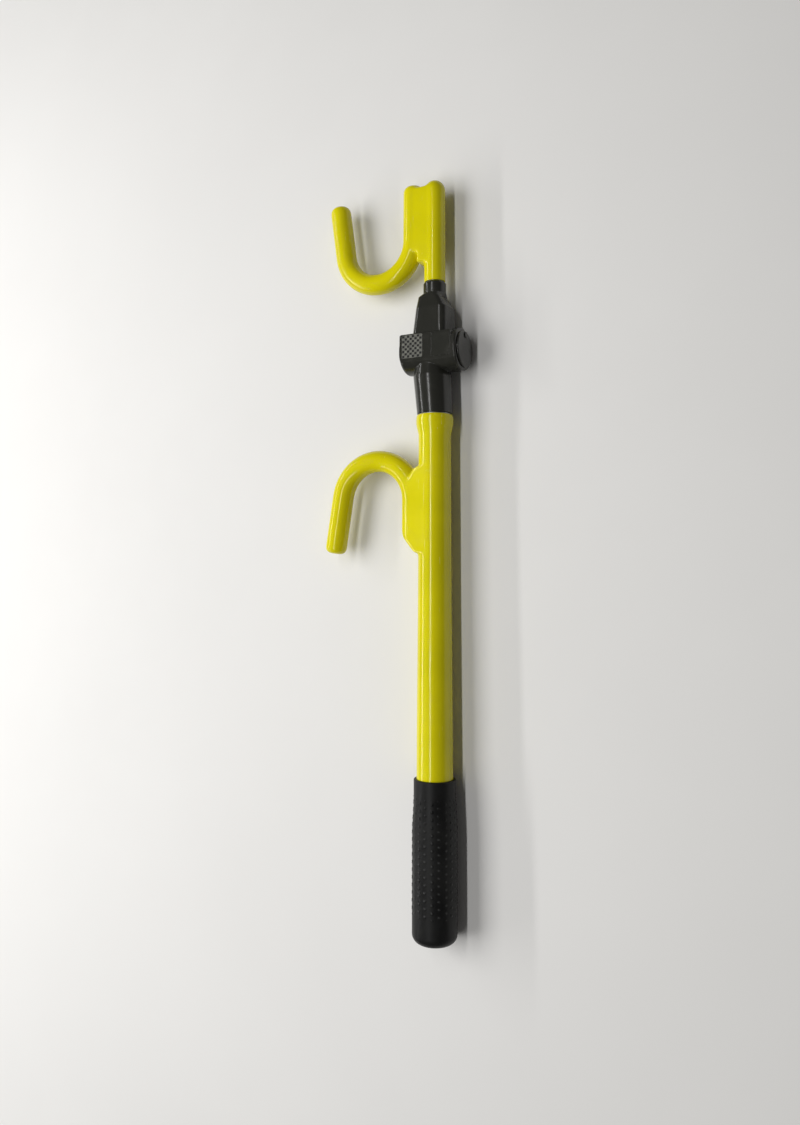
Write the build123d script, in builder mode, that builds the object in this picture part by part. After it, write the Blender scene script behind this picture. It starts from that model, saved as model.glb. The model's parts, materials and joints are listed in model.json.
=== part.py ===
from build123d import *
from math import cos, radians, sin
import os

# Telescopic steering wheel lock, lying on its back in its closed state, unlocked.
#
# Frame: X runs along the bar towards the shaft's hook, Y points to the side that the hooks reach
# to, and Z is up. X = 0 is the axis of the cross barrel, Y = 0 is the bar's axis, and Z = 0 is
# the surface that the lock rests on, level with the flat back of its head.

# ---------------------------------------------------------------- driving dimensions, mm
BAR_Z = 16.4                # height of the bar's axis above the rest surface

TUBE_R = 11.1               # outer tube, outside
TUBE_BORE_R = 9.1
TUBE_TAIL_X = -424.5
TUBE_MOUTH_X = -48.8
BELL_R = 12.6               # belled mouth, outside
BELL_BORE_R = 10.9
BELL_START_X = -66.0        # the plain tube begins to widen
BELL_FULL_X = -60.0

COAT_R = 12.5               # dipped skin on the plain tube, head end
COAT_TAIL_R = 13.5          # the dip drains towards the grip, so the skin is thicker there
COAT_BELL_R = 14.5
COAT_TAIL_X = -330.0
COAT_OVER_ROD = 1.5

SHAFT_R = 6.0
SHAFT_TAIL_X = -330.0
SHAFT_HEAD_X = 131.0
GROOVE_PITCH = 10.0
GROOVE_COUNT = 26
GROOVE_R = 2.9              # radius of a groove's round section
GROOVE_CENTRE_R = 7.6       # distance of that section's centre from the shaft's axis
TRAVEL = GROOVE_PITCH * (GROOVE_COUNT - 1)

SLEEVE_R = 7.0
SLEEVE_START_X = 56.8
SLEEVE_END_X = 135.5
STUB_COAT_R = 8.45
STUB_COAT_START_X = 55.7
STUB_TOP_X = 140.0

ROD_R = 7.0                 # both hooks are bent from the same round bar
LEG_Y = 18.6                # the straight leg lies this far from the bar's axis
BEND_R = 31.3               # bend radius of the rod's centre line
SPLAY = 8.5                 # the arm leans outwards by this many degrees
ARM_LENGTH = 44.4           # straight steel arm beyond the bend
BODY_BEND_X = -113.5        # bend centre of the hook on the body
BODY_LEG_END_X = -140.0
SHAFT_BEND_X = 93.3         # bend centre of the hook on the shaft
SHAFT_LEG_END_X = 135.0

GRIP_START_X = -318.0
GRIP_END_X = -430.5
GRIP_R = 16.4
GRIP_RIM_R = 15.4

BARREL_R = 16.4             # cross barrel of the head
BARREL_KEY_Y = -24.2        # key end, with its bezel
BARREL_FAR_Y = 24.0
HEAD_SHELL_Y = -22.2        # the moulded halves stop here and the bezel closes them
PAD_FACE = 13.9             # the flat front of the barrel, above the bar's axis
PAD_LOW_X = -8.7
PAD_HIGH_X = 13.5
PAD_DEPTH = 0.8
NECK_R = 8.9
NECK_START_X = 46.6
NECK_END_X = 55.3
BODY_LOW_X = -48.4          # the head's lower end meets the tube mouth here

PLUG_R = 5.2
HOUSING_R = 10.9
HOUSING_BACK_Y = -10.4
PLUG_FRONT_Y = -23.2
PLUG_BACK_Y = -9.3
CAM_OFFSET = 2.0            # also the bolt's travel
CAM_R = 1.2
PIN_COUNT = 4
PIN_PITCH = 2.6
PIN_R = 1.05
FIRST_PIN_Y = -20.6

BOLT_R = 2.6
BOLT_LIFT = 9.5             # bolt's axis above the bar's axis when it is unlocked
BOLT_NEAR_Y = -8.9
BOLT_FAR_Y = 12.0
TANG_THICKNESS = 1.7
SPRING_Y = 10.0
SPRING_R = 1.6              # mean radius of the bolt spring
SPRING_FOOT = -4.0
SPRING_TURNS = 6

COVER_R = 14.0              # swinging keyhole cover
COVER_PIVOT_X = 10.8
COVER_BACK_Y = -24.5
COVER_THICKNESS = 1.5

RUN = 0.05                  # radial running clearance
FIT = 0.02                  # radial clearance of pieces pushed over each other
GAP = 0.3                   # clearance between parts that must not touch

# ---------------------------------------------------------------- axes and planes
BAR_AXIS = Axis((0, 0, BAR_Z), (1, 0, 0))
SIDE = Plane(origin=(0, 0, BAR_Z), x_dir=(1, 0, 0), z_dir=(0, -1, 0))   # local x, y: along, up
PLAN = Plane(origin=(0, 0, BAR_Z), x_dir=(1, 0, 0), z_dir=(0, 0, 1))    # local x, y: along, across


def across_bar(x):
    """Plane square to the bar at x; its own axes point to the hooks and up."""
    return Plane(origin=(x, 0, BAR_Z), x_dir=(0, 1, 0), z_dir=(1, 0, 0))


def across_barrel(y):
    """Plane square to the cross barrel at y, facing its far end; its own x points to the tube."""
    return Plane(origin=(0, y, BAR_Z), x_dir=(-1, 0, 0), z_dir=(0, 1, 0))


def finish(name, part):
    """Label a piece and write it to its own file."""
    part.label = name
    export_step(part, "parts/" + name + ".step")


def turned(outline):
    """Solid turned about the bar's axis from (x, radius) points."""
    with BuildPart() as solid:
        with BuildSketch(SIDE):
            with BuildLine():
                Polyline(*outline, close=True)
            make_face()
        revolve(axis=BAR_AXIS)
    return solid.part


def disc_across_barrel(radius, y_low, y_high, x=0.0, up=0.0):
    """Cylinder whose axis runs across the bar, from y_low to y_high."""
    with BuildPart() as solid:
        with BuildSketch(across_barrel(y_low)):
            with Locations((-x, up)):
                Circle(radius)
        extrude(amount=y_high - y_low)
    return solid.part


def bar_cylinder(radius, x_low, x_high):
    """Cylinder on the bar's axis."""
    with BuildPart() as solid:
        with BuildSketch(across_bar(x_low)):
            Circle(radius)
        extrude(amount=x_high - x_low)
    return solid.part


def block(x_range, y_range, up_range):
    """Rectangular block given by its ranges along, across and above the bar's axis."""
    with BuildPart() as solid:
        with BuildSketch(PLAN.offset(up_range[0])):
            with Locations((sum(x_range) / 2, sum(y_range) / 2)):
                Rectangle(x_range[1] - x_range[0], y_range[1] - y_range[0])
        extrude(amount=up_range[1] - up_range[0])
    return solid.part


os.makedirs("parts", exist_ok=True)

# ---------------------------------------------------------------- outer tube
TUBE_OUTSIDE = [
    (TUBE_TAIL_X, 0),
    (TUBE_TAIL_X, TUBE_R),
    (BELL_START_X, TUBE_R),
    (BELL_FULL_X, BELL_R),
    (TUBE_MOUTH_X, BELL_R),
    (TUBE_MOUTH_X, 0),
]
TUBE_INSIDE = [
    (TUBE_TAIL_X, 0),
    (TUBE_TAIL_X, TUBE_BORE_R),
    (BELL_START_X, TUBE_BORE_R),
    (BELL_FULL_X, BELL_BORE_R),
    (TUBE_MOUTH_X, BELL_BORE_R),
    (TUBE_MOUTH_X, 0),
]
tube_form = turned(TUBE_OUTSIDE)
RIVET_X = -55.0
RIVET_R = 1.6

with BuildPart() as outer_tube:
    add(tube_form)
    add(turned(TUBE_INSIDE), mode=Mode.SUBTRACT)
    with BuildSketch(PLAN):
        with Locations((RIVET_X, 0)):
            Circle(RIVET_R)
    extrude(amount=BELL_R + 1, both=True, mode=Mode.SUBTRACT)
finish("outer_tube", outer_tube.part)


# ---------------------------------------------------------------- hooks
def hook_rod(leg_end_x, bend_x, radius, arm_length, end_round):
    """Round bar bent into a hook: a leg along the bar, a bend and a splayed arm."""
    heading = 1 if bend_x > leg_end_x else -1
    turn = radians(180 - SPLAY)
    arm_x = bend_x + heading * BEND_R * sin(turn)
    arm_y = LEG_Y + BEND_R * (1 - cos(turn))
    tip_x = arm_x + heading * arm_length * cos(turn)
    tip_y = arm_y + arm_length * sin(turn)
    with BuildPart() as rod:
        with BuildLine(PLAN) as path:
            Line((leg_end_x, LEG_Y), (bend_x, LEG_Y))
            JernArc(start=(bend_x, LEG_Y), tangent=(heading, 0), radius=BEND_R,
                    arc_size=heading * (180 - SPLAY))
            Line((arm_x, arm_y), (tip_x, tip_y))
        with BuildSketch(Plane(origin=(leg_end_x, LEG_Y, BAR_Z), z_dir=(heading, 0, 0))):
            Circle(radius)
        sweep(path=path.line)
        ends = rod.faces().filter_by(GeomType.PLANE).edges()
        fillet(ends, end_round)
    return rod.part


ROD_END_ROUND = 1.5
ROD_SKIN_R = ROD_R + COAT_OVER_ROD
BODY_SKIN_ROUND = 4.5
SHAFT_SKIN_ROUND = 5.5
SHAFT_LEG_SKIN = 3.6        # the dip leaves a thick drop on the end of the shaft hook's leg
body_rod_form = hook_rod(BODY_LEG_END_X, BODY_BEND_X, ROD_R, ARM_LENGTH, ROD_END_ROUND)
shaft_rod_form = hook_rod(SHAFT_LEG_END_X, SHAFT_BEND_X, ROD_R, ARM_LENGTH, ROD_END_ROUND)
body_rod_skin = hook_rod(BODY_LEG_END_X, BODY_BEND_X, ROD_SKIN_R, ARM_LENGTH + COAT_OVER_ROD,
                         BODY_SKIN_ROUND)
shaft_rod_skin = hook_rod(SHAFT_LEG_END_X + SHAFT_LEG_SKIN, SHAFT_BEND_X, ROD_SKIN_R,
                          ARM_LENGTH + COAT_OVER_ROD, SHAFT_SKIN_ROUND)

with BuildPart() as body_hook:
    add(body_rod_form)
finish("body_hook", body_hook.part)

with BuildPart() as shaft_hook:
    add(shaft_rod_form)
finish("shaft_hook", shaft_hook.part)

# each weld fills the valley between the bar and the leg; the ranges run from metal to metal
BODY_WELD_X = (BODY_LEG_END_X + 2, BODY_BEND_X + 2)
BODY_WELD_Y = (8.0, 15.0)
BODY_WELD_UP = (-4.6, 4.6)
SHAFT_WELD_X = (SHAFT_BEND_X - 4, SHAFT_LEG_END_X - 3)
SHAFT_WELD_Y = (4.5, 15.0)
SHAFT_WELD_UP = (-3.6, 3.6)
with BuildPart() as body_hook_weld:
    add(block(BODY_WELD_X, BODY_WELD_Y, BODY_WELD_UP))
    add(tube_form, mode=Mode.SUBTRACT)
    add(body_rod_form, mode=Mode.SUBTRACT)
finish("body_hook_weld", body_hook_weld.part)

sleeve_form = bar_cylinder(SLEEVE_R, SLEEVE_START_X, SLEEVE_END_X)
with BuildPart() as shaft_hook_weld:
    add(block(SHAFT_WELD_X, SHAFT_WELD_Y, SHAFT_WELD_UP))
    add(sleeve_form, mode=Mode.SUBTRACT)
    add(shaft_rod_form, mode=Mode.SUBTRACT)
finish("shaft_hook_weld", shaft_hook_weld.part)


# ---------------------------------------------------------------- dipped skins
def flush_web(bar_radius, leg_radius, plan):
    """Skin that runs flush from the bar to the hook's leg, trimmed to an outline seen from above."""
    lean = (bar_radius - leg_radius) / LEG_Y
    rise = (1 - lean * lean) ** 0.5
    bar_edge = (bar_radius * lean, bar_radius * rise)
    leg_edge = (LEG_Y + leg_radius * lean, leg_radius * rise)
    x_low = min(x for x, y in plan)
    x_high = max(x for x, y in plan)
    with BuildPart() as web:
        with BuildSketch(across_bar(x_low)):
            with BuildLine():
                Polyline(bar_edge, leg_edge, (leg_edge[0], -leg_edge[1]), (bar_edge[0], -bar_edge[1]),
                         close=True)
            make_face()
            with Locations((LEG_Y, 0)):
                Circle(leg_radius)
        extrude(amount=x_high - x_low)
        with BuildSketch(PLAN.offset(-2 * bar_radius)):
            with BuildLine():
                Polyline(*plan, close=True)
            make_face()
        extrude(amount=4 * bar_radius, mode=Mode.INTERSECT)
    return web.part


LEG_SKIN_Y = LEG_Y + ROD_SKIN_R
BODY_WEB = [
    (-154.5, 0),
    (-154.5, 13.0),
    (-151.0, 16.5),
    (-142.0, 24.5),
    (-137.0, LEG_SKIN_Y),
    (BODY_BEND_X, LEG_SKIN_Y),
    (-91.0, 15.0),
    (-89.0, 11.0),
    (-89.0, 0),
]
SKIN_OUTSIDE = [
    (COAT_TAIL_X, 0),
    (COAT_TAIL_X, COAT_TAIL_R),
    (-290.0, COAT_TAIL_R - 0.1),
    (-180.0, COAT_R + 0.25),
    (-64.5, COAT_R),
    (-61.5, COAT_R + 0.7),
    (-57.0, COAT_BELL_R - 0.1),
    (-54.5, COAT_BELL_R),
    (-50.0, COAT_BELL_R - 0.3),
    (TUBE_MOUTH_X, COAT_BELL_R - 1.0),
    (TUBE_MOUTH_X, 0),
]
with BuildPart() as body_coat:
    add(turned(SKIN_OUTSIDE))
    add(body_rod_skin)
    add(flush_web(COAT_R, ROD_SKIN_R, BODY_WEB))
    add(tube_form, mode=Mode.SUBTRACT)
    add(body_rod_form, mode=Mode.SUBTRACT)
    add(body_hook_weld.part, mode=Mode.SUBTRACT)
finish("body_coat", body_coat.part)

SHAFT_WEB = [
    (72.5, 0),
    (72.5, 13.0),
    (80.0, 12.0),
    (SHAFT_BEND_X, LEG_SKIN_Y),
    (131.0, LEG_SKIN_Y),
    (134.5, 19.0),
    (134.5, 0),
]
SHAFT_WEB_INSET = 0.4       # the web lies this much below the skin on either side
DOME_START_X = STUB_TOP_X - STUB_COAT_R
with BuildPart() as shaft_coat:
    with BuildSketch(SIDE):
        with BuildLine():
            Line((STUB_COAT_START_X, 0), (STUB_COAT_START_X, STUB_COAT_R))
            Line((STUB_COAT_START_X, STUB_COAT_R), (DOME_START_X, STUB_COAT_R))
            CenterArc((DOME_START_X, 0), STUB_COAT_R, 0, 90)
            Line((STUB_TOP_X, 0), (STUB_COAT_START_X, 0))
        make_face()
    revolve(axis=BAR_AXIS)
    add(shaft_rod_skin)
    add(flush_web(STUB_COAT_R - SHAFT_WEB_INSET, ROD_SKIN_R - SHAFT_WEB_INSET, SHAFT_WEB))
    add(sleeve_form, mode=Mode.SUBTRACT)
    add(bar_cylinder(SLEEVE_R, STUB_COAT_START_X - 1, SLEEVE_START_X), mode=Mode.SUBTRACT)
    add(shaft_rod_form, mode=Mode.SUBTRACT)
    add(shaft_hook_weld.part, mode=Mode.SUBTRACT)
finish("shaft_coat", shaft_coat.part)

# ---------------------------------------------------------------- shaft and its ends
STOP_FRONT_X = -316.0
STOP_LENGTH = 7.0
STOP_R = 8.6
STOP_BACK_X = STOP_FRONT_X - STOP_LENGTH
GUIDE_BACK_X = SHAFT_TAIL_X + 1
TAIL_PIN_R = 1.25
TAIL_PIN_HALF = STOP_R - GAP
SHAFT_TAIL_CHAMFER = 0.8
SLEEVE_CHAMFER = 2.0

with BuildPart() as tail_pin:
    with BuildSketch(PLAN.offset(-TAIL_PIN_HALF)):
        with Locations(((STOP_FRONT_X + STOP_BACK_X) / 2, 0)):
            Circle(TAIL_PIN_R)
    extrude(amount=2 * TAIL_PIN_HALF)
finish("tail_pin", tail_pin.part)

with BuildPart() as tail_stop:
    add(bar_cylinder(STOP_R, STOP_BACK_X, STOP_FRONT_X))
    add(bar_cylinder(SHAFT_R + FIT, STOP_BACK_X, STOP_FRONT_X), mode=Mode.SUBTRACT)
    add(tail_pin.part, mode=Mode.SUBTRACT)
finish("tail_stop", tail_stop.part)

with BuildPart() as tail_guide:
    add(bar_cylinder(TUBE_BORE_R - RUN, GUIDE_BACK_X, STOP_BACK_X))
    add(bar_cylinder(SHAFT_R + FIT, GUIDE_BACK_X, STOP_BACK_X), mode=Mode.SUBTRACT)
finish("tail_guide", tail_guide.part)

with BuildPart() as notched_shaft:
    add(bar_cylinder(SHAFT_R, SHAFT_TAIL_X, SHAFT_HEAD_X))
    chamfer(notched_shaft.faces().sort_by(Axis.X)[0].edges(), SHAFT_TAIL_CHAMFER)
    for index in range(GROOVE_COUNT):
        with BuildSketch(SIDE):
            with Locations((-index * GROOVE_PITCH, GROOVE_CENTRE_R)):
                Circle(GROOVE_R)
        revolve(axis=BAR_AXIS, mode=Mode.SUBTRACT)
    add(tail_pin.part, mode=Mode.SUBTRACT)
finish("notched_shaft", notched_shaft.part)

with BuildPart() as end_sleeve:
    add(sleeve_form)
    chamfer(end_sleeve.faces().sort_by(Axis.X)[-1].edges(), SLEEVE_CHAMFER)
    add(bar_cylinder(SHAFT_R + FIT, SLEEVE_START_X, SHAFT_HEAD_X), mode=Mode.SUBTRACT)
finish("end_sleeve", end_sleeve.part)

# ---------------------------------------------------------------- grip and tube end
GRIP_OUTSIDE = [
    (GRIP_END_X, 0),
    (GRIP_END_X, GRIP_R - 7.0),
    (GRIP_END_X + 1.2, GRIP_R - 3.6),
    (GRIP_END_X + 3.6, GRIP_R - 1.2),
    (GRIP_END_X + 7.0, GRIP_R),
    (-352.0, GRIP_R),
    (-338.0, GRIP_RIM_R + 0.5),
    (GRIP_START_X - 1.0, GRIP_RIM_R),
    (GRIP_START_X, GRIP_RIM_R - 0.8),
    (GRIP_START_X, 0),
]
END_PLUG_X = -426.5
PLUG_SKIRT_END_X = TUBE_TAIL_X + 12
PLUG_SKIRT_WALL = 2.0
with BuildPart() as grip:
    add(turned(GRIP_OUTSIDE))
    add(bar_cylinder(TUBE_R + FIT, END_PLUG_X, COAT_TAIL_X), mode=Mode.SUBTRACT)
    add(bar_cylinder(COAT_TAIL_R + FIT, COAT_TAIL_X, GRIP_START_X), mode=Mode.SUBTRACT)
finish("grip", grip.part)

with BuildPart() as tube_end_plug:
    add(bar_cylinder(TUBE_R, END_PLUG_X, TUBE_TAIL_X))
    add(bar_cylinder(TUBE_BORE_R, TUBE_TAIL_X, PLUG_SKIRT_END_X))
    add(bar_cylinder(TUBE_BORE_R - PLUG_SKIRT_WALL, TUBE_TAIL_X, PLUG_SKIRT_END_X), mode=Mode.SUBTRACT)
finish("tube_end_plug", tube_end_plug.part)

# ---------------------------------------------------------------- lock block
SPIGOT_R = BELL_BORE_R - RUN
SPIGOT_STEP_X = -59.6
SPIGOT_END_X = -65.4
BLOCK_TUBE_R = 9.9
BLOCK_CROSS_R = 12.2
BLOCK_FAR_Y = 20.2
SHAFT_HOLE_R = SHAFT_R + GAP
NOSE_STEP_X = 40.0
NOSE_BUSH_R = 7.0
NOSE_BUSH_X = 38.0
NOSE_TUBE_R = 8.1
CLIP_POCKET_R = 7.2
TANG_HALF = 5.0
TANG_TOP = 11.0
TANG_FOOT = -2.2
BOLT_POCKET_FOOT = 3.5
SPRING_POCKET_TOP = 7.0
SPRING_POCKET_R = SPRING_R + 0.6
SCREW_R = 1.4
SCREW_HEAD_R = 2.5
# x, y, height of the head's seat and height of the tip for each screw through the rear cover
REAR_SCREWS = [(28.0, 0.0, -10.9, -7.2), (-34.0, 0.0, -12.6, -7.2), (0.0, 14.0, -14.6, -9.0)]
RIVET_FOOT = 7.6
RIVET_TOP = BELL_R - 0.1

with BuildPart() as block_rivets:
    for foot in (RIVET_FOOT, -RIVET_TOP):
        with BuildSketch(PLAN.offset(foot)):
            with Locations((RIVET_X, 0)):
                Circle(RIVET_R)
        extrude(amount=RIVET_TOP - RIVET_FOOT)
finish("block_rivets", block_rivets.part)


def upright_pins(places):
    """Upright cylinders from (x, y, foot, top, radius) entries."""
    with BuildPart() as pins:
        for x, y, foot, top, radius in places:
            with BuildSketch(PLAN.offset(foot)):
                with Locations((x, y)):
                    Circle(radius)
            extrude(amount=top - foot)
    return pins.part


screw_shanks = upright_pins([(x, y, seat, tip, SCREW_R) for x, y, seat, tip in REAR_SCREWS])

with BuildPart() as lock_block:
    add(bar_cylinder(BLOCK_TUBE_R, BODY_LOW_X, NOSE_STEP_X))
    add(bar_cylinder(SPIGOT_R, SPIGOT_STEP_X, BODY_LOW_X))
    add(bar_cylinder(TUBE_BORE_R - RUN, SPIGOT_END_X, SPIGOT_STEP_X))
    add(bar_cylinder(NOSE_TUBE_R, NOSE_STEP_X, NECK_START_X))
    add(disc_across_barrel(BLOCK_CROSS_R, HEAD_SHELL_Y, BLOCK_FAR_Y))
    add(bar_cylinder(SHAFT_HOLE_R, SPIGOT_END_X, NECK_START_X), mode=Mode.SUBTRACT)
    add(bar_cylinder(NOSE_BUSH_R, NOSE_BUSH_X, NECK_START_X), mode=Mode.SUBTRACT)
    add(disc_across_barrel(HOUSING_R, HEAD_SHELL_Y, HOUSING_BACK_Y), mode=Mode.SUBTRACT)
    add(disc_across_barrel(CLIP_POCKET_R, HOUSING_BACK_Y, PLUG_BACK_Y), mode=Mode.SUBTRACT)
    add(block((-TANG_HALF - GAP, TANG_HALF + GAP), (PLUG_BACK_Y, BOLT_NEAR_Y + TANG_THICKNESS + GAP),
              (TANG_FOOT - CAM_OFFSET - GAP, BLOCK_CROSS_R)), mode=Mode.SUBTRACT)
    add(block((-BOLT_R - GAP, BOLT_R + GAP), (PLUG_BACK_Y, BOLT_FAR_Y + GAP),
              (BOLT_POCKET_FOOT, BLOCK_CROSS_R)), mode=Mode.SUBTRACT)
    add(upright_pins([(0, SPRING_Y, SPRING_FOOT, SPRING_POCKET_TOP, SPRING_POCKET_R)]),
        mode=Mode.SUBTRACT)
    add(screw_shanks, mode=Mode.SUBTRACT)
    add(block_rivets.part, mode=Mode.SUBTRACT)
finish("lock_block", lock_block.part)

BUSH_INSET = 0.6            # the bush ends this far inside the collar's mouth
COLLAR_ROUND = 1.0
with BuildPart() as nose_bush:
    add(bar_cylinder(NOSE_BUSH_R, NOSE_BUSH_X, NECK_END_X - BUSH_INSET))
    add(bar_cylinder(SHAFT_R + RUN, NOSE_BUSH_X, NECK_END_X), mode=Mode.SUBTRACT)
finish("nose_bush", nose_bush.part)

with BuildPart() as nose_collar:
    add(bar_cylinder(NECK_R, NECK_START_X, NECK_END_X))
    fillet(nose_collar.faces().sort_by(Axis.X)[-1].edges(), COLLAR_ROUND)
    add(bar_cylinder(NOSE_BUSH_R, NECK_START_X, NECK_END_X), mode=Mode.SUBTRACT)
finish("nose_collar", nose_collar.part)


# ---------------------------------------------------------------- head shell
def rounded_section(x, y_range, half_height, corner):
    """Rounded rectangle square to the bar."""
    with BuildSketch(across_bar(x)) as section:
        with Locations((sum(y_range) / 2, 0)):
            RectangleRounded(y_range[1] - y_range[0], 2 * half_height, corner)
    return section.sketch.face()


def round_section(x, y, radius):
    """Circle square to the bar."""
    with BuildSketch(across_bar(x)) as section:
        with Locations((y, 0)):
            Circle(radius)
    return section.sketch.face()


# upper half of the head, from the barrel to the neck: x, range across, half height, corner radius
SHOULDERS = [
    (6.0, (-14.3, 15.7), 12.8, 5.5),
    (34.1, (-13.7, 12.2), 12.2, 5.5),
    (43.4, (-8.2, 11.0), 10.2, 5.0),
    (NECK_START_X, (-NECK_R, NECK_R), NECK_R, 8.6),
]
# lower half, from the barrel to the tube mouth: x, middle across, radius
CONE = [
    (-8.0, 2.6, 12.6),
    (-19.0, 1.9, 14.8),
    (BODY_LOW_X, 0.0, 13.6),
]
BARREL_ROUND = 3.0
FRONT_Y = (-20.0, BARREL_FAR_Y)
FRONT_CORNER = 1.6
FRONT_EDGE = 0.8
REAR_PAD_X = (-10.0, 10.0)
REAR_PAD_Y = (-18.0, 22.6)
REAR_PAD_TOP = -6.0
REAR_PAD_CORNER = 2.0

with BuildPart() as squared_front:
    add(block((0.0, PAD_HIGH_X), FRONT_Y, (0.0, PAD_FACE)))
    fillet(squared_front.edges().filter_by(Axis.Z).sort_by(Axis.X)[-2:], FRONT_CORNER)
    fillet(squared_front.edges().filter_by(Axis.Y).sort_by(Axis.X)[-2:].sort_by(Axis.Z)[-1], FRONT_EDGE)

with BuildPart() as rear_pad:
    add(block(REAR_PAD_X, REAR_PAD_Y, (-BAR_Z, REAR_PAD_TOP)))
    fillet(rear_pad.edges().filter_by(Axis.Z), REAR_PAD_CORNER)

with BuildPart() as head_form:
    add(disc_across_barrel(BARREL_R, HEAD_SHELL_Y, BARREL_FAR_Y))
    fillet(head_form.faces().sort_by(Axis.Y)[-1].edges(), BARREL_ROUND)
    add(squared_front.part)
    add(rear_pad.part)
    for wide, narrow in zip(SHOULDERS, SHOULDERS[1:]):
        loft([rounded_section(*wide), rounded_section(*narrow)], ruled=True)
    for high, low in zip(CONE, CONE[1:]):
        loft([round_section(*high), round_section(*low)], ruled=True)
    add(block((PAD_LOW_X, PAD_HIGH_X), (HEAD_SHELL_Y, BARREL_FAR_Y), (PAD_FACE, BARREL_R)),
        mode=Mode.SUBTRACT)

CAVITY_GAP = 0.2
with BuildPart() as head_cavity:
    add(disc_across_barrel(BLOCK_CROSS_R + CAVITY_GAP, HEAD_SHELL_Y, BLOCK_FAR_Y + CAVITY_GAP))
    add(bar_cylinder(BLOCK_TUBE_R + CAVITY_GAP, BODY_LOW_X, NOSE_STEP_X + CAVITY_GAP))
    add(bar_cylinder(NOSE_TUBE_R + FIT, NOSE_STEP_X, NECK_START_X))

# ranges along and across of the two squares set into the front of the barrel
CHECKER_RANGE = ((-5.6, 12.6), (4.2, 21.6))
PLAIN_RANGE = ((-6.2, 12.2), (-18.8, -3.4))
PAD_CORNER = 1.0
CHECK_COUNT = (9, 8)        # checks along and across the bar
CHECK_SIZE = (1.95, 2.1)
CHECK_DEPTH = 0.4
CHECK_RIB = 0.16            # the hollows are this much smaller than the raised checks


def pad(x_range, y_range, corner):
    """Square with rounded corners that lies flush in the front of the barrel."""
    with BuildPart() as square:
        add(block(x_range, y_range, (PAD_FACE - PAD_DEPTH, PAD_FACE)))
        fillet(square.edges().filter_by(Axis.Z), corner)
    return square.part


checker_form = pad(*CHECKER_RANGE, PAD_CORNER)
checks_start = [sum(CHECKER_RANGE[n]) / 2 - (CHECK_COUNT[n] - 1) / 2 * CHECK_SIZE[n] for n in (0, 1)]
hollow_places = [(checks_start[0] + column * CHECK_SIZE[0], checks_start[1] + row * CHECK_SIZE[1])
                 for column in range(CHECK_COUNT[0])
                 for row in range(CHECK_COUNT[1])
                 if (column + row) % 2]
with BuildPart() as checker_pad:
    add(checker_form)
    with BuildSketch(PLAN.offset(PAD_FACE)):
        with Locations(*hollow_places):
            Rectangle(CHECK_SIZE[0] - CHECK_RIB, CHECK_SIZE[1] - CHECK_RIB)
    extrude(amount=-CHECK_DEPTH, mode=Mode.SUBTRACT)
finish("checker_pad", checker_pad.part)

with BuildPart() as plain_pad:
    add(pad(*PLAIN_RANGE, PAD_CORNER))
finish("plain_pad", plain_pad.part)

REAR_HOLE_FOOT = -20.0
with BuildPart() as front_cover:
    add(head_form.part)
    split(bisect_by=PLAN, keep=Keep.TOP)
    add(head_cavity.part, mode=Mode.SUBTRACT)
    add(checker_form, mode=Mode.SUBTRACT)
    add(plain_pad.part, mode=Mode.SUBTRACT)
finish("front_cover", front_cover.part)

with BuildPart() as rear_cover:
    add(head_form.part)
    split(bisect_by=PLAN, keep=Keep.BOTTOM)
    add(head_cavity.part, mode=Mode.SUBTRACT)
    add(upright_pins([(x, y, REAR_HOLE_FOOT, tip, SCREW_R + FIT) for x, y, seat, tip in REAR_SCREWS]),
        mode=Mode.SUBTRACT)
    add(upright_pins([(x, y, REAR_HOLE_FOOT, seat, SCREW_HEAD_R + 0.1) for x, y, seat, tip in REAR_SCREWS]),
        mode=Mode.SUBTRACT)
finish("rear_cover", rear_cover.part)

SCREW_HEAD_HEIGHT = 1.2
SOCKET_R = 1.0
SOCKET_DEPTH = 0.8


def socket_screw(x, y, seat, tip):
    """Upright screw with its head below the seat, and a six-sided socket in the head."""
    face = seat - SCREW_HEAD_HEIGHT
    with BuildPart() as screw:
        add(upright_pins([(x, y, seat, tip, SCREW_R), (x, y, face, seat, SCREW_HEAD_R)]))
        with BuildSketch(PLAN.offset(face)):
            with Locations((x, y)):
                RegularPolygon(SOCKET_R, 6)
        extrude(amount=SOCKET_DEPTH, mode=Mode.SUBTRACT)
    return screw.part


with BuildPart() as rear_screws:
    for x, y, seat, tip in REAR_SCREWS:
        add(socket_screw(x, y, seat, tip))
finish("rear_screws", rear_screws.part)

BEZEL_HOLE_R = 6.3
BEZEL_ROUND = 1.6
PIVOT_R = 1.5
PIVOT_HEAD_R = 2.4
PIVOT_HEAD_HEIGHT = 0.7
PIVOT_HEAD_ROUND = 0.5
with BuildPart() as end_bezel:
    add(disc_across_barrel(BARREL_R, BARREL_KEY_Y, HEAD_SHELL_Y))
    fillet(end_bezel.faces().sort_by(Axis.Y)[0].edges(), BEZEL_ROUND)
    add(disc_across_barrel(BEZEL_HOLE_R, BARREL_KEY_Y, HEAD_SHELL_Y), mode=Mode.SUBTRACT)
    add(disc_across_barrel(PIVOT_R, BARREL_KEY_Y, HEAD_SHELL_Y, COVER_PIVOT_X), mode=Mode.SUBTRACT)
finish("end_bezel", end_bezel.part)

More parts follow.
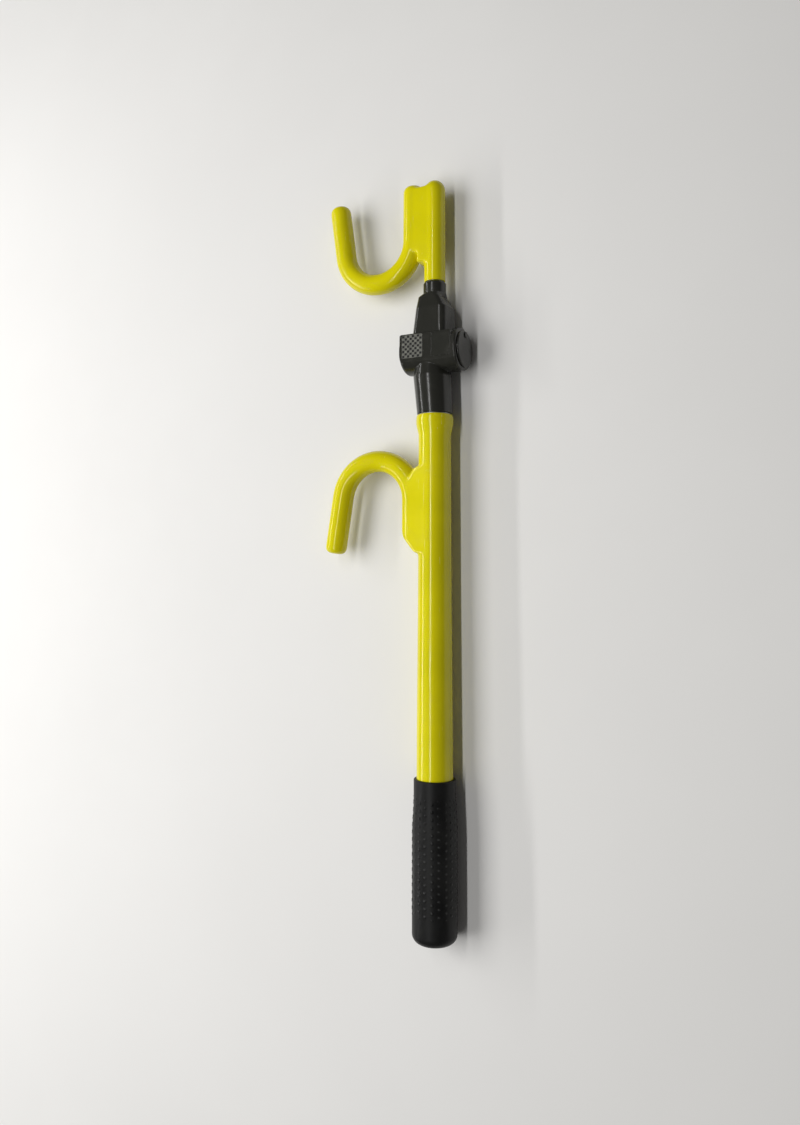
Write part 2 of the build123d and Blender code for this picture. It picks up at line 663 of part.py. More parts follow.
COVER_FRONT_Y = COVER_BACK_Y - COVER_THICKNESS
COVER_ROUND = 1.0
PIVOT_NECK_Y = COVER_FRONT_Y - 0.1
with BuildPart() as keyhole_cover:
    add(disc_across_barrel(COVER_R, COVER_FRONT_Y, COVER_BACK_Y))
    fillet(keyhole_cover.faces().sort_by(Axis.Y)[0].edges(), COVER_ROUND)
    add(disc_across_barrel(PIVOT_R + RUN, COVER_FRONT_Y, COVER_BACK_Y, COVER_PIVOT_X),
        mode=Mode.SUBTRACT)
finish("keyhole_cover", keyhole_cover.part)

with BuildPart() as cover_pivot:
    add(disc_across_barrel(PIVOT_R, PIVOT_NECK_Y, HEAD_SHELL_Y, COVER_PIVOT_X))
    add(disc_across_barrel(PIVOT_HEAD_R, PIVOT_NECK_Y - PIVOT_HEAD_HEIGHT, PIVOT_NECK_Y, COVER_PIVOT_X))
    fillet(cover_pivot.faces().sort_by(Axis.Y)[0].edges(), PIVOT_HEAD_ROUND)
finish("cover_pivot", cover_pivot.part)

# ---------------------------------------------------------------- lock cylinder
DRIVER_FOOT = PLUG_R + RUN
CHAMBER_R = PIN_R + 0.06
STRIP_FOOT = 10.0
STRIP_HALF = 1.7
STRIP_OVERHANG = 1.4
DRIVER_TOP = 7.4
KEY_PIN_FEET = [0.9, 1.9, 1.3, 2.3]
pin_places = [FIRST_PIN_Y + index * PIN_PITCH for index in range(PIN_COUNT)]
STRIP_Y = (pin_places[0] - STRIP_OVERHANG, pin_places[-1] + STRIP_OVERHANG)

with BuildPart() as chamber_strip:
    add(disc_across_barrel(HOUSING_R, *STRIP_Y))
    add(block((-STRIP_HALF, STRIP_HALF), STRIP_Y, (STRIP_FOOT, HOUSING_R)), mode=Mode.INTERSECT)
finish("chamber_strip", chamber_strip.part)

with BuildPart() as cylinder_housing:
    add(disc_across_barrel(HOUSING_R, HEAD_SHELL_Y, HOUSING_BACK_Y))
    add(disc_across_barrel(PLUG_R + RUN, HEAD_SHELL_Y, HOUSING_BACK_Y), mode=Mode.SUBTRACT)
    add(upright_pins([(0, y, 0, HOUSING_R, CHAMBER_R) for y in pin_places]), mode=Mode.SUBTRACT)
    add(chamber_strip.part, mode=Mode.SUBTRACT)
finish("cylinder_housing", cylinder_housing.part)

with BuildPart() as driver_pins:
    add(upright_pins([(0, y, DRIVER_FOOT, DRIVER_TOP, PIN_R) for y in pin_places]))
finish("driver_pins", driver_pins.part)


def coil_springs(y_places, foot, top, coil_radius, wire_radius, turns):
    """Upright coil springs that just clear a seat below at foot and one above at top."""
    ends = wire_radius + FIT
    height = top - foot - 2 * ends
    with BuildPart() as springs:
        for y in y_places:
            with BuildLine():
                coil = Helix(pitch=height / turns, height=height, radius=coil_radius,
                             center=(0, y, BAR_Z + foot + ends))
            with BuildSketch(Plane(origin=coil @ 0, z_dir=coil % 0)):
                Circle(wire_radius)
            sweep(path=coil, is_frenet=True)
    return springs.part


PIN_SPRING_R = 0.75
PIN_SPRING_WIRE_R = 0.18
PIN_SPRING_TURNS = 4
with BuildPart() as pin_springs:
    add(coil_springs(pin_places, DRIVER_TOP, STRIP_FOOT, PIN_SPRING_R, PIN_SPRING_WIRE_R,
                     PIN_SPRING_TURNS))
finish("pin_springs", pin_springs.part)

BOLT_SPRING_WIRE_R = 0.35
with BuildPart() as bolt_spring:
    add(coil_springs([SPRING_Y], SPRING_FOOT, BOLT_LIFT - BOLT_R, SPRING_R, BOLT_SPRING_WIRE_R,
                     SPRING_TURNS))
finish("bolt_spring", bolt_spring.part)

KEYWAY_HALF = 0.8
KEYWAY_FOOT = -4.0
KEYWAY_TOP = 3.4
KEYWAY_END_Y = -11.6
WARD_X = (0.0, KEYWAY_HALF + 0.9)       # side groove of the keyway
WARD_UP = (-2.6, -1.4)
PLUG_SHOULDER_R = 6.0
CLIP_Y = (-10.1, -9.6)
CLIP_BORE_R = 4.5
CAM_FRONT_Y = KEYWAY_END_Y + 0.6
with BuildPart() as plug:
    add(disc_across_barrel(PLUG_R, HEAD_SHELL_Y - RUN, PLUG_BACK_Y))
    add(disc_across_barrel(PLUG_SHOULDER_R, PLUG_FRONT_Y, HEAD_SHELL_Y - RUN))
    add(block((-KEYWAY_HALF, KEYWAY_HALF), (PLUG_FRONT_Y, KEYWAY_END_Y), (KEYWAY_FOOT, KEYWAY_TOP)),
        mode=Mode.SUBTRACT)
    add(block(WARD_X, (PLUG_FRONT_Y, KEYWAY_END_Y), WARD_UP), mode=Mode.SUBTRACT)
    add(upright_pins([(0, y, 0, PLUG_R, CHAMBER_R) for y in pin_places]), mode=Mode.SUBTRACT)
    add(disc_across_barrel(PLUG_R, *CLIP_Y), mode=Mode.SUBTRACT)
    add(disc_across_barrel(CLIP_BORE_R, *CLIP_Y))
    add(disc_across_barrel(CAM_R, CAM_FRONT_Y, PLUG_BACK_Y, 0, CAM_OFFSET), mode=Mode.SUBTRACT)
finish("plug", plug.part)

KEY_PIN_TOP = PLUG_R - 0.1
with BuildPart() as key_pins:
    add(upright_pins([(0, y, foot, KEY_PIN_TOP, PIN_R) for y, foot in zip(pin_places, KEY_PIN_FEET)]))
finish("key_pins", key_pins.part)

CLIP_R = 6.6
CLIP_MOUTH_HALF = 2.2
with BuildPart() as plug_clip:
    add(disc_across_barrel(CLIP_R, *CLIP_Y))
    add(disc_across_barrel(CLIP_BORE_R + FIT, *CLIP_Y), mode=Mode.SUBTRACT)
    add(block((-CLIP_MOUTH_HALF, CLIP_MOUTH_HALF), CLIP_Y, (-CLIP_R, 0)), mode=Mode.SUBTRACT)
finish("plug_clip", plug_clip.part)

TANG_Y = (BOLT_NEAR_Y, BOLT_NEAR_Y + TANG_THICKNESS)
with BuildPart() as cam_pin:
    add(disc_across_barrel(CAM_R, CAM_FRONT_Y, TANG_Y[1] - 0.1, 0, CAM_OFFSET))
finish("cam_pin", cam_pin.part)

# ---------------------------------------------------------------- locking bolt
CAM_SLACK = 0.1
# the bolt moves evenly with the plug, and the cam pin leads or lags it by this much on the way
CAM_LAG = 0.43
SLOT_FOOT = CAM_OFFSET - CAM_R - CAM_SLACK
SLOT_TOP = CAM_OFFSET + CAM_R + CAM_LAG + CAM_SLACK
SLOT_X = (-CAM_R - GAP, CAM_OFFSET + CAM_R + GAP)
with BuildPart() as locking_bolt:
    add(block((-TANG_HALF, TANG_HALF), TANG_Y, (TANG_FOOT, TANG_TOP)))
    add(disc_across_barrel(BOLT_R, BOLT_NEAR_Y, BOLT_FAR_Y, 0, BOLT_LIFT))
    add(block(SLOT_X, TANG_Y, (SLOT_FOOT, SLOT_TOP)), mode=Mode.SUBTRACT)
finish("locking_bolt", locking_bolt.part)
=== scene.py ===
import json
from math import atan2, cos, pi, radians, sin

import bpy
import numpy as np
from mathutils import Matrix, Vector


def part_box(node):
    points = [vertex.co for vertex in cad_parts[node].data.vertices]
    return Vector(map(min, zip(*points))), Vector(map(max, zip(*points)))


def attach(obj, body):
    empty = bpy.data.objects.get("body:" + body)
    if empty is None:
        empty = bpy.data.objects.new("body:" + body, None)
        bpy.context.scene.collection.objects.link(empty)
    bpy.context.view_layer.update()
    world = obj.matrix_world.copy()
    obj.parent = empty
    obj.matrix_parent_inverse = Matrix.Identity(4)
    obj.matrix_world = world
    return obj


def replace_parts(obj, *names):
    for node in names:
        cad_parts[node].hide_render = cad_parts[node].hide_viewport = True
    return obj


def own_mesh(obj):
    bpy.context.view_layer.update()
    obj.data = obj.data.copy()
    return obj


# Steering wheel lock lying on a pale floor. X runs along the bar, Y towards the side that the
# hooks reach to, Z up. Lengths are in metres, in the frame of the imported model.

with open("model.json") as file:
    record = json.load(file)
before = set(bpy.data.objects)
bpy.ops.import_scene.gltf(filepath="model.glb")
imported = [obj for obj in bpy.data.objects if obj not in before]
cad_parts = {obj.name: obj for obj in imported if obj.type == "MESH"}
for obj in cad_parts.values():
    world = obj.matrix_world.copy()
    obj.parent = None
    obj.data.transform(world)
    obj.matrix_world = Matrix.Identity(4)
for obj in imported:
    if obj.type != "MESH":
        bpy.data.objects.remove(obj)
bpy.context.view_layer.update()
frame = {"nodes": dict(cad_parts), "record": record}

TUBE_LOW, TUBE_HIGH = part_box("outer_tube")
BAR_Z = (TUBE_LOW.z + TUBE_HIGH.z) / 2
MM = 0.001

# ---------------------------------------------------------------- camera
IMAGE_SIZE = (800, 1125)
FOCAL = 900.0                   # in units of the image's pixels
SENSOR = 36.0
LOOK_DOWN = radians(25.5)       # the camera stands this far from straight above, on the key side
TILT = radians(7.5)             # and looks this far up the bar
OFF_AXIS = (34.8, -102.5)       # the bar's place in the frame and the lens's rise
CAMERA_DISTANCE = 0.68124       # from the bar's axis
CAMERA_X = -0.17356             # along the bar, from the head's cross barrel


def place_camera():
    """Looks down on the lock with the shaft's hook at the top of the frame."""
    forward = Vector((0, sin(LOOK_DOWN), -cos(LOOK_DOWN)))
    along = Vector((1, 0, 0))
    right = forward.cross(along)
    up = cos(TILT) * along - sin(TILT) * forward
    forward = cos(TILT) * forward + sin(TILT) * along
    yaw = atan2(OFF_AXIS[0], FOCAL)
    turned = cos(yaw) * forward - sin(yaw) * right
    right = cos(yaw) * right + sin(yaw) * forward
    data = bpy.data.cameras.new("camera")
    data.sensor_fit = "VERTICAL"
    data.sensor_height = SENSOR
    data.lens = SENSOR * FOCAL / IMAGE_SIZE[1]
    data.shift_y = OFF_AXIS[1] / IMAGE_SIZE[1]
    data.clip_start = 0.01
    camera = bpy.data.objects.new("camera", data)
    place = (CAMERA_X, -CAMERA_DISTANCE * sin(LOOK_DOWN), BAR_Z + CAMERA_DISTANCE * cos(LOOK_DOWN))
    turn = Matrix((right, up, -turned)).transposed().to_4x4()
    camera.matrix_world = Matrix.Translation(place) @ turn
    bpy.context.scene.collection.objects.link(camera)
    bpy.context.scene.camera = camera


place_camera()


# ---------------------------------------------------------------- lights and floor
LIGHT_X = -0.15                 # middle of the lights along the bar
FLOOR_HALF = 3.0
FLOOR_DROP = 0.1 * MM           # the floor lies this far below the lock


def long_light(name, angle, distance, size, power, mirrored=True):
    """Light parallel to the bar; angle is from straight above towards the hooks' side.

    A light that isn't mirrored shows no reflection of itself in glossy surfaces.
    """
    data = bpy.data.lights.new(name, "AREA")
    data.shape = "RECTANGLE"
    data.size, data.size_y = size
    data.energy = power
    light = bpy.data.objects.new(name, data)
    along = Vector((1, 0, 0))
    toward = Vector((0, sin(radians(angle)), cos(radians(angle))))
    place = Vector((LIGHT_X, 0, BAR_Z)) + distance * toward
    turn = Matrix((along, toward.cross(along), toward)).transposed().to_4x4()
    light.matrix_world = Matrix.Translation(place) @ turn
    light.visible_glossy = mirrored
    bpy.context.scene.collection.objects.link(light)


def set_world(brightness):
    world = bpy.data.worlds.new("studio")
    world.use_nodes = True
    background = world.node_tree.nodes["Background"]
    background.inputs["Color"].default_value = (1.0, 0.99, 0.97, 1)
    background.inputs["Strength"].default_value = brightness
    bpy.context.scene.world = world


STRIP = {"distance": 0.95, "size": (1.3, 0.035)}
long_light("overhead_strip", angle=4.5, power=3.6, **STRIP)
long_light("side_strip", angle=62.5, power=3.4, **STRIP)
long_light("soft_key", angle=38.0, power=38.0, distance=2.4, size=(2.4, 1.0), mirrored=False)
set_world(brightness=0.10)
bpy.context.scene.view_settings.view_transform = "Standard"


# ---------------------------------------------------------------- material helpers
class Shader:
    """Small helper around one material's node tree."""

    def __init__(self, name):
        self.material = bpy.data.materials.new(name)
        self.material.use_nodes = True
        self.tree = self.material.node_tree
        self.surface = self.tree.nodes["Principled BSDF"]
        self.place = self.add("ShaderNodeTexCoord").outputs["Object"]

    def add(self, kind, **settings):
        node = self.tree.nodes.new(kind)
        for key, value in settings.items():
            setattr(node, key, value)
        return node

    def link(self, source, target):
        self.tree.links.new(source, target)

    def feed(self, socket, value):
        """Give a socket a number, a colour or another node's output."""
        if isinstance(value, bpy.types.NodeSocket):
            self.link(value, socket)
        else:
            socket.default_value = value

    def stretched(self, scale):
        mapping = self.add("ShaderNodeMapping")
        self.link(self.place, mapping.inputs["Vector"])
        mapping.inputs["Scale"].default_value = scale
        return mapping.outputs["Vector"]

    def noise(self, scale, detail=3.0, roughness=0.5, stretch=None):
        node = self.add("ShaderNodeTexNoise")
        self.link(self.stretched(stretch) if stretch else self.place, node.inputs["Vector"])
        node.inputs["Scale"].default_value = scale
        node.inputs["Detail"].default_value = detail
        node.inputs["Roughness"].default_value = roughness
        return node.outputs["Fac"]

    def cells(self, scale):
        node = self.add("ShaderNodeTexVoronoi")
        self.link(self.place, node.inputs["Vector"])
        node.inputs["Scale"].default_value = scale
        return node.outputs["Distance"]

    def ramp(self, value, low, high, out_low=0.0, out_high=1.0):
        """Map low..high to out_low..out_high, clamped and smooth."""
        node = self.add("ShaderNodeMapRange", interpolation_type="SMOOTHSTEP")
        self.feed(node.inputs["Value"], value)
        for key, number in zip(("From Min", "From Max", "To Min", "To Max"),
                               (low, high, out_low, out_high)):
            node.inputs[key].default_value = number
        return node.outputs["Result"]

    def spread(self, noise, low=0.0, high=1.0):
        """Map the usual range of a noise, 0.3 to 0.7, to low..high."""
        return self.ramp(noise, 0.3, 0.7, low, high)

    def math(self, operation, a, b):
        node = self.add("ShaderNodeMath", operation=operation)
        self.feed(node.inputs[0], a)
        self.feed(node.inputs[1], b)
        return node.outputs[0]

    def blend(self, factor, a, b):
        """Mix two colours."""
        node = self.add("ShaderNodeMix", data_type="RGBA")
        self.feed(node.inputs["Factor"], factor)
        self.feed(node.inputs["A"], a)
        self.feed(node.inputs["B"], b)
        return node.outputs["Result"]

    def tint(self, colour, other, mask, amount):
        """Take a colour part of the way to another where the mask is one."""
        return self.blend(self.math("MULTIPLY", mask, amount), colour, other)

    def plus(self, value, mask, amount):
        """Raise a value by the amount where the mask is one."""
        return self.math("ADD", value, self.math("MULTIPLY", mask, amount))

    def bump(self, height, distance, strength=1.0, normal=None):
        node = self.add("ShaderNodeBump")
        self.link(height, node.inputs["Height"])
        node.inputs["Distance"].default_value = distance
        node.inputs["Strength"].default_value = strength
        if normal:
            self.link(normal, node.inputs["Normal"])
        return node.outputs["Normal"]

    def soft_edges(self, radius):
        """Normal that runs over sharp edges as if they were rounded."""
        node = self.add("ShaderNodeBevel", samples=4)
        node.inputs["Radius"].default_value = radius
        return node.outputs["Normal"]

    def edge_mask(self, rounded):
        """One along sharp edges, zero on the faces."""
        true = self.add("ShaderNodeNewGeometry").outputs["True Normal"]
        dot = self.add("ShaderNodeVectorMath", operation="DOT_PRODUCT")
        self.link(rounded, dot.inputs[0])
        self.link(true, dot.inputs[1])
        return self.ramp(self.math("SUBTRACT", 1.0, dot.outputs["Value"]), 0.02, 0.18)

    def part(self, axis):
        """One coordinate of the shaded point."""
        node = self.add("ShaderNodeSeparateXYZ")
        self.link(self.place, node.inputs["Vector"])
        return node.outputs[axis]

    def from_axis(self):
        """Distance from the bar's axis."""
        across = self.part("Y")
        up = self.math("SUBTRACT", self.part("Z"), BAR_Z)
        square = self.math("ADD", self.math("MULTIPLY", across, across),
                           self.math("MULTIPLY", up, up))
        return self.math("SQRT", square, 0.0)

    def finish(self, colour, roughness, normal=None, **constants):
        self.feed(self.surface.inputs["Base Color"], colour)
        self.feed(self.surface.inputs["Roughness"], roughness)
        if normal:
            self.link(normal, self.surface.inputs["Normal"])
        for key, value in constants.items():
            self.surface.inputs[key.replace("_", " ")].default_value = value
        return self.material


def grey(value):
    return (value, value, value, 1)


# ---------------------------------------------------------------- materials
PLASTIC_EDGE = 0.7 * MM         # sharp edges look rounded by this much
RUBBER_EDGE = 0.15 * MM
METAL_EDGE = 0.2 * MM


def yellow_vinyl():
    """Dipped vinyl: glossy, slightly wavy, with rubbed dull patches, fine scratches and pits."""
    s = Shader("yellow_vinyl")
    deep = (0.62, 0.555, 0.0002, 1)
    bright = (0.68, 0.605, 0.0004, 1)
    dull = (0.55, 0.48, 0.004, 1)
    pale = (0.86, 0.82, 0.25, 1)
    dark = (0.35, 0.29, 0.01, 1)
    clouds = s.noise(28, 4)
    rubbed = s.ramp(s.noise(60, 6, 0.6), 0.52, 0.75)
    scratches = s.ramp(s.noise(900, 2, 0.5, stretch=(0.05, 1, 1)), 0.66, 0.72)
    scratches = s.math("MULTIPLY", scratches, s.ramp(s.noise(35, 2), 0.5, 0.62))
    pits = s.ramp(s.cells(420), 0.0, 0.09, 1.0, 0.0)
    pits = s.math("MULTIPLY", pits, s.ramp(s.noise(90, 2), 0.58, 0.66))
    colour = s.blend(s.spread(clouds), deep, bright)
    colour = s.tint(colour, dull, rubbed, 0.25)
    colour = s.tint(colour, pale, scratches, 0.35)
    colour = s.tint(colour, dark, pits, 0.6)
    roughness = s.plus(s.spread(clouds, 0.12, 0.17), rubbed, 0.12)
    roughness = s.plus(roughness, scratches, 0.2)
    waves = s.bump(s.noise(120, 2), 0.4 * MM, 0.22)
    peel = s.bump(s.noise(700, 3), 0.06 * MM, 0.35, waves)
    cuts = s.math("SUBTRACT", s.math("MULTIPLY", scratches, -0.4), pits)
    marks = s.bump(cuts, 0.08 * MM, 0.7, peel)
    return s.finish(colour, roughness, marks, Coat_Weight=0.1, Coat_Roughness=0.08,
                    Specular_IOR_Level=0.35)


def black_plastic():
    """Moulded plastic: satin with a fine spark texture, paler along its edges."""
    s = Shader("black_plastic")
    clean = (0.020, 0.020, 0.016, 1)
    dusty = (0.030, 0.0295, 0.024, 1)
    rounded = s.soft_edges(PLASTIC_EDGE)
    worn = s.math("MULTIPLY", s.edge_mask(rounded), s.ramp(s.noise(180, 4, 0.6), 0.42, 0.62))
    dust = s.ramp(s.noise(70, 6, 0.65), 0.5, 0.8)
    colour = s.tint(s.blend(dust, clean, dusty), grey(0.045), worn, 0.7)
    roughness = s.plus(s.ramp(dust, 0, 1, 0.20, 0.30), worn, 0.15)
    grain = s.bump(s.noise(2600, 2), 0.04 * MM, 0.3, rounded)
    flow = s.bump(s.noise(220, 2), 0.2 * MM, 0.12, grain)
    return s.finish(colour, roughness, flow)


def pad_rubber():
    """Checkered rubber square: the raised checks are painted pale in patches, a painted highlight
    where they catch the light; the hollows stay dark.
    """
    s = Shader("pad_rubber")
    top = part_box("checker_pad")[1].z
    pale = (0.17, 0.17, 0.145, 1)
    # painted highlight: the raised checks, found by their height, are painted pale, patchy in
    # strength
    raised = s.ramp(s.part("Z"), top - 0.15 * MM, top - 0.05 * MM)
    highlight_patches = s.spread(s.noise(300, 5, 0.6), 0.55, 1.0)
    colour = s.blend(s.math("MULTIPLY", raised, highlight_patches), grey(0.012), pale)
    roughness = s.spread(s.noise(900, 3), 0.5, 0.68)
    grain = s.bump(s.noise(3200, 3), 0.06 * MM, 0.5, s.soft_edges(RUBBER_EDGE))
    return s.finish(colour, roughness, grain)


def grip_rubber():
    """Soft grip: dull black rubber with pale dust, shinier where hands polish the dots."""
    s = Shader("grip_rubber")
    deep = grey(0.006)
    lighter = (0.012, 0.012, 0.0115, 1)
    dusty = (0.035, 0.034, 0.031, 1)
    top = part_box("grip")[1].z - BAR_Z
    dots = s.ramp(s.from_axis(), top + 0.1 * MM, top + 0.45 * MM)
    clouds = s.noise(45, 5, 0.6)
    dust = s.ramp(s.noise(500, 6, 0.7), 0.62, 0.8)
    colour = s.blend(s.ramp(clouds, 0.35, 0.7), deep, lighter)
    colour = s.tint(colour, grey(0.055), dots, 0.55)
    colour = s.tint(colour, dusty, dust, 0.35)
    roughness = s.plus(s.spread(clouds, 0.38, 0.50), dots, -0.12)
    grain = s.bump(s.noise(2400, 3), 0.05 * MM, 0.5)
    return s.finish(colour, roughness, grain, Specular_IOR_Level=0.22)


def metal(name, low, high, roughness, turned, flecks=0.0):
    """Bare or plated metal: tone drifts between two colours, with stains and tool marks."""
    s = Shader(name)
    stained = (*(0.45 * channel for channel in low), 1)
    rounded = s.soft_edges(METAL_EDGE)
    clouds = s.noise(110, 5, 0.6)
    stains = s.ramp(s.noise(240, 6, 0.7), 0.6, 0.75)
    colour = s.tint(s.blend(s.spread(clouds), (*low, 1), (*high, 1)), stained, stains, 0.3)
    rough = s.plus(s.spread(clouds, roughness, roughness * 1.5), stains, 0.12)
    rings = s.noise(160, 3, 0.7, stretch=(40, 0.5, 0.5))
    normal = s.bump(rings, 0.03 * MM, turned, rounded)
    if flecks:
        normal = s.bump(s.noise(1500, 4, 0.7), 0.08 * MM, flecks, normal)
    return s.finish(colour, rough, normal, Metallic=1.0)


def nylon():
    """Natural nylon: off-white, greyed and made shinier by grease."""
    s = Shader("nylon")
    clean = (0.62, 0.60, 0.53, 1)
    greasy = (0.34, 0.32, 0.26, 1)
    grease = s.ramp(s.noise(120, 6, 0.65), 0.45, 0.7)
    colour = s.blend(grease, clean, greasy)
    roughness = s.ramp(grease, 0, 1, 0.5, 0.3)
    return s.finish(colour, roughness, s.bump(s.noise(1800, 3), 0.05 * MM, 0.4))


def floor_material():
    """Matt painted board in pale warm grey."""
    s = Shader("pale_floor")
    colour = s.blend(s.noise(6, 5), (0.74, 0.73, 0.71, 1), (0.78, 0.77, 0.75, 1))
    roughness = s.spread(s.noise(30, 4), 0.65, 0.8)
    return s.finish(colour, roughness, s.bump(s.noise(900, 4), 0.1 * MM, 0.15))


# each metal: darker tone, lighter tone, roughness, depth of its tool marks, depth of its flecks
MATERIALS = {
    "yellow_vinyl": yellow_vinyl(),
    "black_plastic": black_plastic(),
    "pad_rubber": pad_rubber(),
    "grip_rubber": grip_rubber(),
    "tube_steel": metal("tube_steel", (0.36, 0.36, 0.37), (0.48, 0.48, 0.49), 0.34, 0.3, 0.25),
    "hardened_steel": metal("hardened_steel", (0.58, 0.58, 0.59), (0.70, 0.70, 0.70), 0.16, 0.35),
    "screw_steel": metal("screw_steel", (0.10, 0.10, 0.11), (0.17, 0.17, 0.18), 0.3, 0.2, 0.2),
    "spring_steel": metal("spring_steel", (0.42, 0.42, 0.44), (0.55, 0.55, 0.57), 0.26, 0.2),
    "zinc": metal("zinc", (0.42, 0.43, 0.45), (0.55, 0.56, 0.58), 0.4, 0.1, 0.6),
    "brass": metal("brass", (0.60, 0.42, 0.16), (0.76, 0.57, 0.26), 0.24, 0.4),
    "nylon": nylon(),
}


def dress(piece, slot):
    piece.data.materials.clear()
    piece.data.materials.append(MATERIALS[slot])


for entry in frame["record"]["subparts"]:
    dress(frame["nodes"][entry["node"]], entry["material_slot"])


def make_floor():
    mesh = bpy.data.meshes.new("floor")
    corners = [(x * FLOOR_HALF, y * FLOOR_HALF, 0) for x, y in ((-1, -1), (1, -1), (1, 1), (-1, 1))]
    mesh.from_pydata(corners, [], [(0, 1, 2, 3)])
    floor = bpy.data.objects.new("floor", mesh)
    floor.location.z = -FLOOR_DROP
    mesh.materials.append(floor_material())
    bpy.context.scene.collection.objects.link(floor)


make_floor()


# ---------------------------------------------------------------- dipped skins
SKIN_VOXEL = 0.7 * MM
SKIN_ROUNDS = 30                # of smoothing


def new_piece(name, mesh, body, slot):
    """Object that moves with a body, smooth and in its slot's material."""
    piece = bpy.data.objects.new(name, mesh)
    bpy.context.scene.collection.objects.link(piece)
    dress(piece, slot)
    mesh.polygons.foreach_set("use_smooth", [True] * len(mesh.polygons))
    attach(piece, body)
    return piece


def joined(nodes):
    """Vertices and faces of several CAD nodes in one new mesh."""
    points, faces = [], []
    for name in nodes:
        mesh = frame["nodes"][name].data
        start = len(points)
        points.extend(vertex.co.copy() for vertex in mesh.vertices)
        faces.extend([start + index for index in face.vertices] for face in mesh.polygons)
    mesh = bpy.data.meshes.new("joined")
    mesh.from_pydata(points, [], faces)
    return mesh


def remeshed(mesh):
    """Even closed mesh of the same solid, with its creases and edges softened."""
    holder = bpy.data.objects.new("holder", mesh)
    bpy.context.scene.collection.objects.link(holder)
    even = holder.modifiers.new("even", "REMESH")
    even.mode = "VOXEL"
    even.voxel_size = SKIN_VOXEL
    soft = holder.modifiers.new("soft", "SMOOTH")
    soft.factor = 0.5
    soft.iterations = SKIN_ROUNDS
    view = bpy.context.evaluated_depsgraph_get()
    result = bpy.data.meshes.new_from_object(holder.evaluated_get(view))
    bpy.data.objects.remove(holder)
    return result


def dipped_skin(name, coat, hidden, body):
    """One soft skin around a coat and the metal under it."""
    mesh = remeshed(joined([coat, *hidden]))
    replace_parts(new_piece(name, mesh, body, "yellow_vinyl"), coat)


dipped_skin("body_skin", "body_coat", ["body_hook", "body_hook_weld"], "lock_body")
dipped_skin("shaft_skin", "shaft_coat", ["shaft_hook", "shaft_hook_weld"], "shaft")


# ---------------------------------------------------------------- grip
GRIP_LOW, GRIP_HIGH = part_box("grip")
GRIP_R = GRIP_HIGH.z - BAR_Z
TUBE_BORE = 11.12 * MM          # radius inside, around the bare tube
SKIN_BORE = 13.52 * MM          # radius inside, around the yellow skin
GRIP_FLOOR = 4.0 * MM           # thickness of the closed end
GRIP_LAP = 12.0 * MM            # the skin reaches this far into the grip
LIP = 0.8 * MM                  # rounding of the mouth
LIP_POINTS = 5
OUTSIDE_FROM = 1.2 * LIP        # the outside's rings start this far from the mouth
END_CORNER = 6.5 * MM           # rounding of the closed end
END_POINTS = 13
RIM_STEP = 1.0 * MM             # the mouth is this much slimmer than the body of the grip
SWELL_FROM = 14.0 * MM          # from the mouth
SWELL_LENGTH = 24.0 * MM
RING_STEP = 0.4 * MM
RING_SIDES = 260
DOT_COLUMNS = 20
DOT_PITCH = 5.2 * MM
DOT_RADIUS = 1.0 * MM
DOT_HEIGHT = 0.42 * MM
DOTS_FROM = 15.0 * MM           # from the grip's mouth
DOTS_TO = 90.0 * MM
OUTSIDE_R = GRIP_R - 1.2 * RIM_STEP     # only points beyond this radius are raised by dots


def grip_profile():
    """(x, radius) points of the grip: inside, mouth, outside and closed end."""
    mouth, end = GRIP_HIGH.x, GRIP_LOW.x
    floor, lap = end + GRIP_FLOOR, mouth - GRIP_LAP
    rim = GRIP_R - RIM_STEP
    inside = [(floor, 0.0), (floor, TUBE_BORE), (lap, TUBE_BORE), (lap, SKIN_BORE),
              (mouth, SKIN_BORE)]
    lip = [(mouth - LIP * (1 - cos(turn)), rim - LIP * (1 - sin(turn)))
           for turn in np.linspace(0, pi / 2, LIP_POINTS)]
    start, stop = mouth - OUTSIDE_FROM, end + END_CORNER
    outside = []
    for x in np.arange(start, stop, -RING_STEP):
        swell = min(max((mouth - SWELL_FROM - x) / SWELL_LENGTH, 0.0), 1.0)
        outside.append((x, rim + RIM_STEP * swell * swell * (3 - 2 * swell)))
    dome = [(end + END_CORNER * (1 - sin(turn)), GRIP_R - END_CORNER * (1 - cos(turn)))
            for turn in np.linspace(0, pi / 2, END_POINTS)]
    return inside + lip + outside + dome + [(end, 0.0)]


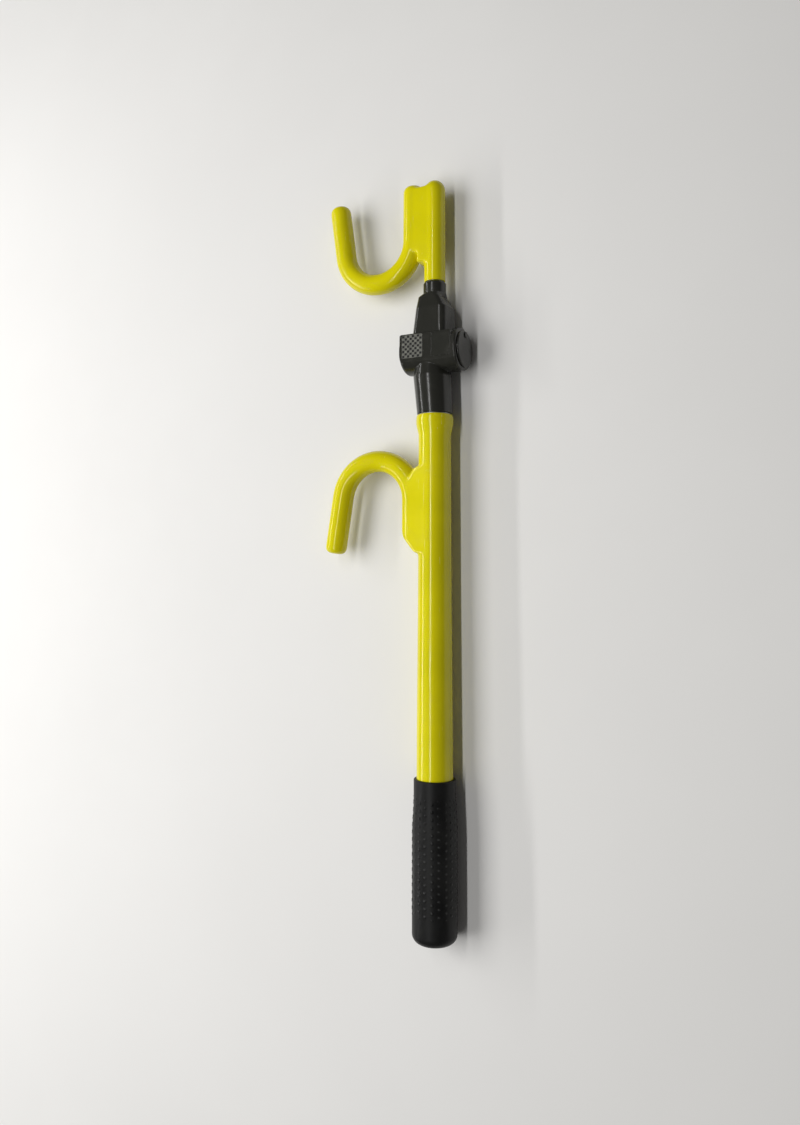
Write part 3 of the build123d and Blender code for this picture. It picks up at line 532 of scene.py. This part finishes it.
def dot_lift(x, angle):
    """Height of the raised dots at each point; every other column is shifted by half a pitch."""
    column = angle / (2 * pi) * DOT_COLUMNS
    nearest = np.round(column)
    side = (column - nearest) * 2 * pi / DOT_COLUMNS * GRIP_R
    depth = GRIP_HIGH.x - x
    along = (depth - DOTS_FROM) / DOT_PITCH + 0.5 * (nearest % 2)
    inside = (depth > DOTS_FROM - 0.5 * DOT_PITCH) & (depth < DOTS_TO + 0.5 * DOT_PITCH)
    step = (along - np.round(along)) * DOT_PITCH
    reach = np.clip(1 - (side ** 2 + step ** 2) / DOT_RADIUS ** 2, 0, 1)
    return np.where(inside, DOT_HEIGHT * np.sqrt(reach), 0.0)


def make_grip():
    """The rubber grip, turned about the bar's axis, with its raised dots."""
    profile = np.array(grip_profile())
    sides = RING_SIDES
    angles = np.arange(sides) * 2 * pi / sides
    x = np.repeat(profile[1:-1, 0], sides)
    radius = np.repeat(profile[1:-1, 1], sides)
    angle = np.tile(angles, len(profile) - 2)
    radius = radius + np.where(radius > OUTSIDE_R, dot_lift(x, angle), 0.0)
    height = np.maximum(BAR_Z + radius * np.sin(angle), 0.0)    # the lowest dots are pressed flat
    ring = np.stack([x, radius * np.cos(angle), height], 1)
    first, last = len(ring), len(ring) + 1
    points = np.vstack([ring, [[profile[0, 0], 0, BAR_Z], [profile[-1, 0], 0, BAR_Z]]])
    faces = []
    rings = len(profile) - 2
    for row in range(rings - 1):
        for side in range(sides):
            a, b = row * sides + side, row * sides + (side + 1) % sides
            faces.append((a, b, b + sides, a + sides))
    for side in range(sides):
        after = (side + 1) % sides
        faces.append((first, after, side))
        faces.append((last, (rings - 1) * sides + side, (rings - 1) * sides + after))
    mesh = bpy.data.meshes.new("dotted_grip")
    mesh.from_pydata(points.tolist(), [], faces)
    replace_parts(new_piece("dotted_grip", mesh, "lock_body", "grip_rubber"), "grip")


make_grip()


def make_bolt_coil():
    """The spring under the bolt, given a mesh of its own."""
    mesh = frame["nodes"]["bolt_spring"].data.copy()
    coil = new_piece("bolt_coil", mesh, "lock_body", "spring_steel")
    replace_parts(coil, "bolt_spring")
    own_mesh(coil)


make_bolt_coil()
